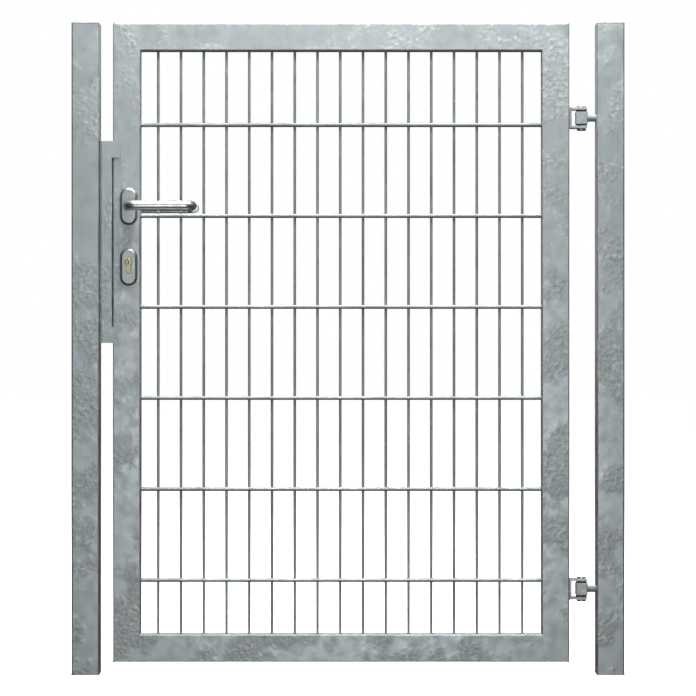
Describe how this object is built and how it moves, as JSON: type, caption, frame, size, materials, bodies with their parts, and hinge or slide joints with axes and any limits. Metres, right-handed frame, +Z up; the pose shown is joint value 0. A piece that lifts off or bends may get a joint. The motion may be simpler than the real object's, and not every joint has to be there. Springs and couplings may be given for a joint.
{
  "type": "garden gate",
  "caption": "Single garden gate in galvanised steel: two square posts, a tube-framed leaf with double-rod mesh, adjustable hinges, levers and a profile-cylinder lock.",
  "frame": {"origin": "on the ground, midway between the outer faces of the two posts and in the middle of the leaf's depth", "axes": "+X along the fence from the lock side to the hinge side, +Y away from the street (the way the leaf opens), +Z up"},
  "size_m": [1.21, 0.151, 1.4323],
  "materials": {
    "galvanised_steel": "hot-dip galvanised, matt, with spangle",
    "satin_steel": "satin stainless",
    "plated_steel": "zinc plated",
    "brass": "satin",
    "cap_plastic": "moulded, matt, light grey",
    "stop_rubber": "matt black",
    "bush_nylon": "natural nylon"
  },
  "bodies": {
    "posts": {"latch_post": "galvanised_steel", "hinge_post": "galvanised_steel", "latch_post_cap": "cap_plastic", "hinge_post_cap": "cap_plastic", "strike": "galvanised_steel", "keeper_plate": "galvanised_steel", "upper_strike_bolt": "plated_steel", "lower_strike_bolt": "plated_steel", "upper_stop_buffer": "stop_rubber", "lower_stop_buffer": "stop_rubber", "upper_hinge_top_bush": "bush_nylon", "upper_hinge_bottom_bush": "bush_nylon", "lower_hinge_top_bush": "bush_nylon", "lower_hinge_bottom_bush": "bush_nylon", "upper_hinge_eyebolt": "galvanised_steel", "lower_hinge_eyebolt": "galvanised_steel", "upper_post_insert": "plated_steel", "lower_post_insert": "plated_steel"},
    "leaf": {"lock_stile": "galvanised_steel", "hinge_stile": "galvanised_steel", "top_rail": "galvanised_steel", "bottom_rail": "galvanised_steel", "mesh_panel": "galvanised_steel", "upper_hinge_bracket": "galvanised_steel", "lower_hinge_bracket": "galvanised_steel", "upper_hinge_pin": "plated_steel", "lower_hinge_pin": "plated_steel", "upper_pin_collar": "plated_steel", "lower_pin_collar": "plated_steel", "lock_case": "plated_steel", "lock_cover": "plated_steel", "lock_forend": "satin_steel", "upper_forend_lug": "plated_steel", "lower_forend_lug": "plated_steel", "upper_forend_screw": "plated_steel", "lower_forend_screw": "plated_steel", "upper_lever_stud": "plated_steel", "lower_lever_stud": "plated_steel", "upper_cylinder_stud": "plated_steel", "lower_cylinder_stud": "plated_steel", "latch_spring": "plated_steel", "cylinder_body": "brass", "cylinder_screw": "plated_steel", "front_lever_rosette": "galvanised_steel", "rear_lever_rosette": "galvanised_steel", "front_cylinder_rosette": "galvanised_steel", "rear_cylinder_rosette": "galvanised_steel"},
    "lever_set": {"lever_spindle": "plated_steel", "latch_follower": "plated_steel", "front_lever": "satin_steel", "rear_lever": "satin_steel", "front_grub_screw": "plated_steel", "rear_grub_screw": "plated_steel"},
    "latch": {"latch_bolt": "brass"},
    "key_plug": {"front_cylinder_plug": "brass", "rear_cylinder_plug": "brass", "cylinder_cam": "plated_steel"},
    "bolt": {"dead_bolt": "satin_steel"}
  },
  "joints": [
    {"name": "leaf_swing", "type": "hinge", "parent": "posts", "child": "leaf", "pos_m": [0.513, 0, 0.704], "axis": [0, 0, -1], "range_deg": [0, 100]},
    {"name": "lever_turn", "type": "hinge", "parent": "leaf", "child": "lever_set", "pos_m": [-0.48, 0, 1.026], "axis": [0, 1, 0], "range_deg": [0, 40], "stiffness_Nm_per_rad": 2, "springref_deg": -34.38},
    {"name": "latch_slide", "type": "slide", "parent": "leaf", "child": "latch", "axis": [1, 0, 0], "range_m": [0, 0.012], "deforming": ["latch_spring"]},
    {"name": "key_turn", "type": "hinge", "parent": "leaf", "child": "key_plug", "pos_m": [-0.48, 0, 0.903], "axis": [0, -1, 0], "range_deg": [0, 360]},
    {"name": "bolt_slide", "type": "slide", "parent": "leaf", "child": "bolt", "axis": [-1, 0, 0], "range_m": [0, 0.02]}
  ],
  "couplings": [
    {"joint": "latch_slide", "follows": "lever_turn", "m_per_rad": 0.01718},
    {"joint": "key_turn", "follows": "bolt_slide", "rad_per_m": 314.15}
  ]
}
